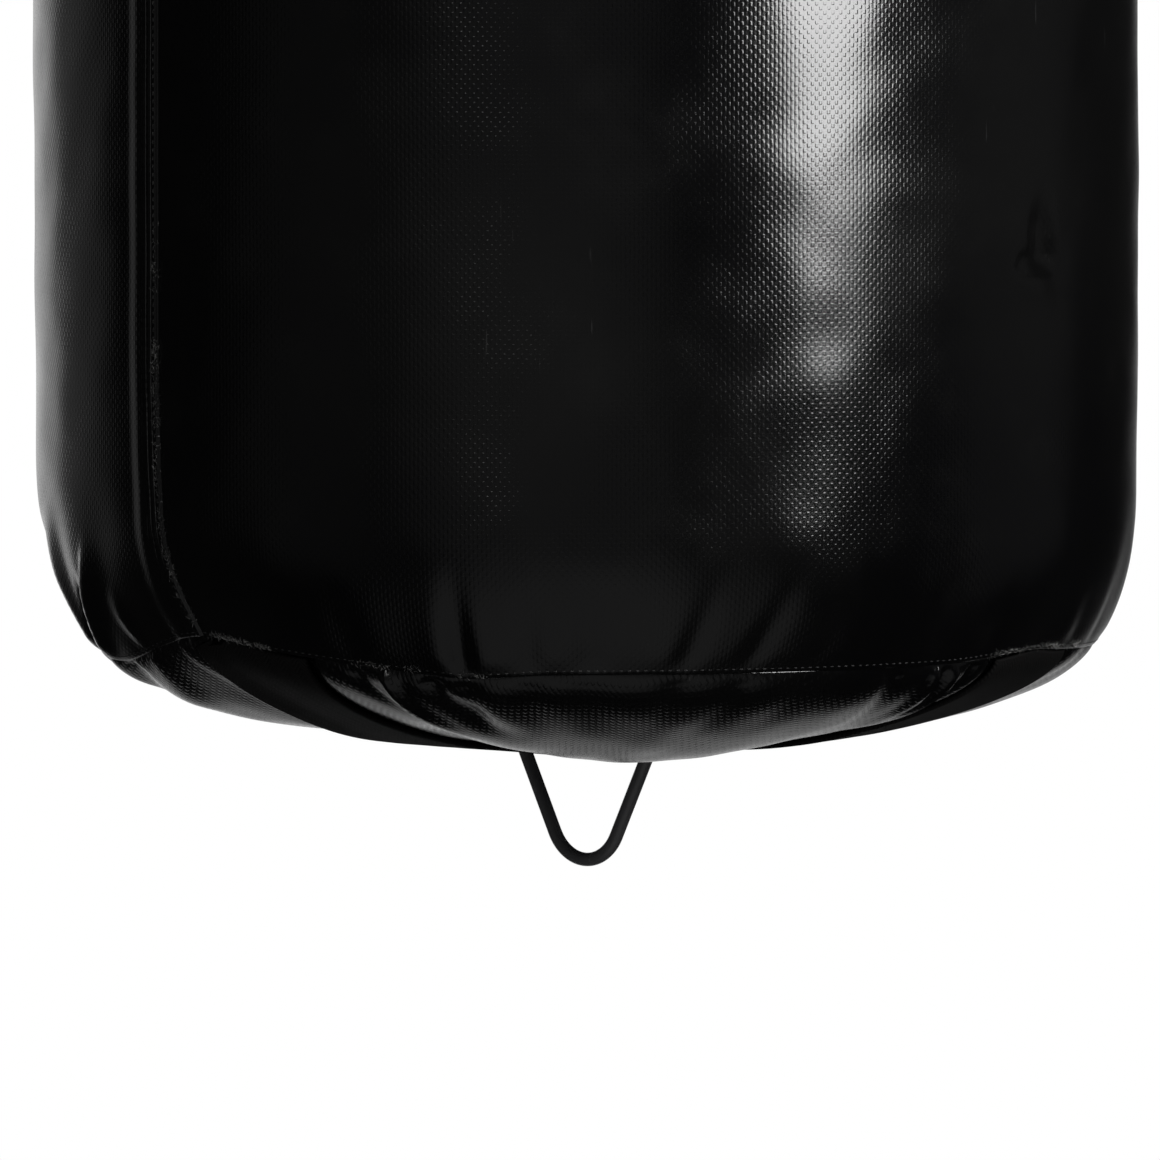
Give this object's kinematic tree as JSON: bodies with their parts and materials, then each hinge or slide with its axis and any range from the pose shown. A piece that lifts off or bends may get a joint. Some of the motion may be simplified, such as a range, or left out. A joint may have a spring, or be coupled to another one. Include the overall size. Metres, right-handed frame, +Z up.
{
  "type": "hanging punching bag",
  "caption": "Hanging heavy punching bag of black coated canvas, with webbing straps, a V-ring, a ball-bearing swivel and a loose tie-down ring underneath.",
  "frame": {"origin": "centre of the bore of the hanging eye, which the bag hangs from", "axes": "+Z up along the hanging bag; +Y along the eye's bore, away from the side with the lapped seam; X along the bars of both rings"},
  "size_m": [0.3555, 0.3563, 1.549],
  "materials": {
    "coated_canvas": "satin",
    "webbing": "matte",
    "zinc_steel": "satin",
    "black_steel": "gloss",
    "zip_plastic": "satin",
    "rag_filling": "matte"
  },
  "bodies": {
    "hanger": {"swivel_eye": "zinc_steel", "lower_race": "zinc_steel", "bearing_balls": "zinc_steel"},
    "swivel": {"swivel_jaw": "zinc_steel", "upper_race": "zinc_steel", "shank_nut": "zinc_steel", "jaw_pin": "zinc_steel", "split_pin": "zinc_steel"},
    "ring": {"hanging_ring": "black_steel"},
    "bag": {"hanging_strap_a": "webbing", "hanging_strap_b": "webbing", "side_panel": "coated_canvas", "top_panel": "coated_canvas", "zip_tapes": "webbing", "zip_teeth": "zip_plastic", "filling": "rag_filling", "bottom_panel": "coated_canvas", "bottom_strap_inner": "webbing", "bottom_strap_outer": "webbing"},
    "slider": {"zip_slider": "black_steel"},
    "pull": {"zip_pull": "black_steel"},
    "tie_ring": {"tie_down_ring": "black_steel"}
  },
  "joints": [
    {"name": "swivel_spin", "type": "hinge", "parent": "hanger", "child": "swivel", "pos_m": [0, 0, -0.0523], "axis": [0, 0, 1], "continuous": true},
    {"name": "ring_swing", "type": "hinge", "parent": "swivel", "child": "ring", "pos_m": [0, 0, -0.0889], "axis": [0, 1, 0], "range_deg": [-35, 35]},
    {"name": "bag_swing", "type": "hinge", "parent": "ring", "child": "bag", "pos_m": [0, 0, -0.1409], "axis": [1, 0, 0], "range_deg": [-35, 35]},
    {"name": "zip_slide", "type": "slide", "parent": "bag", "child": "slider", "axis": [-1, 0, 0], "range_m": [0, 0.23], "deforming": ["zip_teeth"]},
    {"name": "pull_flip", "type": "hinge", "parent": "slider", "child": "pull", "pos_m": [0.1233, 0, -0.3888], "axis": [0, 1, 0], "range_deg": [0, 175]},
    {"name": "tie_ring_swing", "type": "hinge", "parent": "bag", "child": "tie_ring", "pos_m": [0, 0, -1.4898], "axis": [1, 0, 0], "range_deg": [-50, 50]}
  ]
}
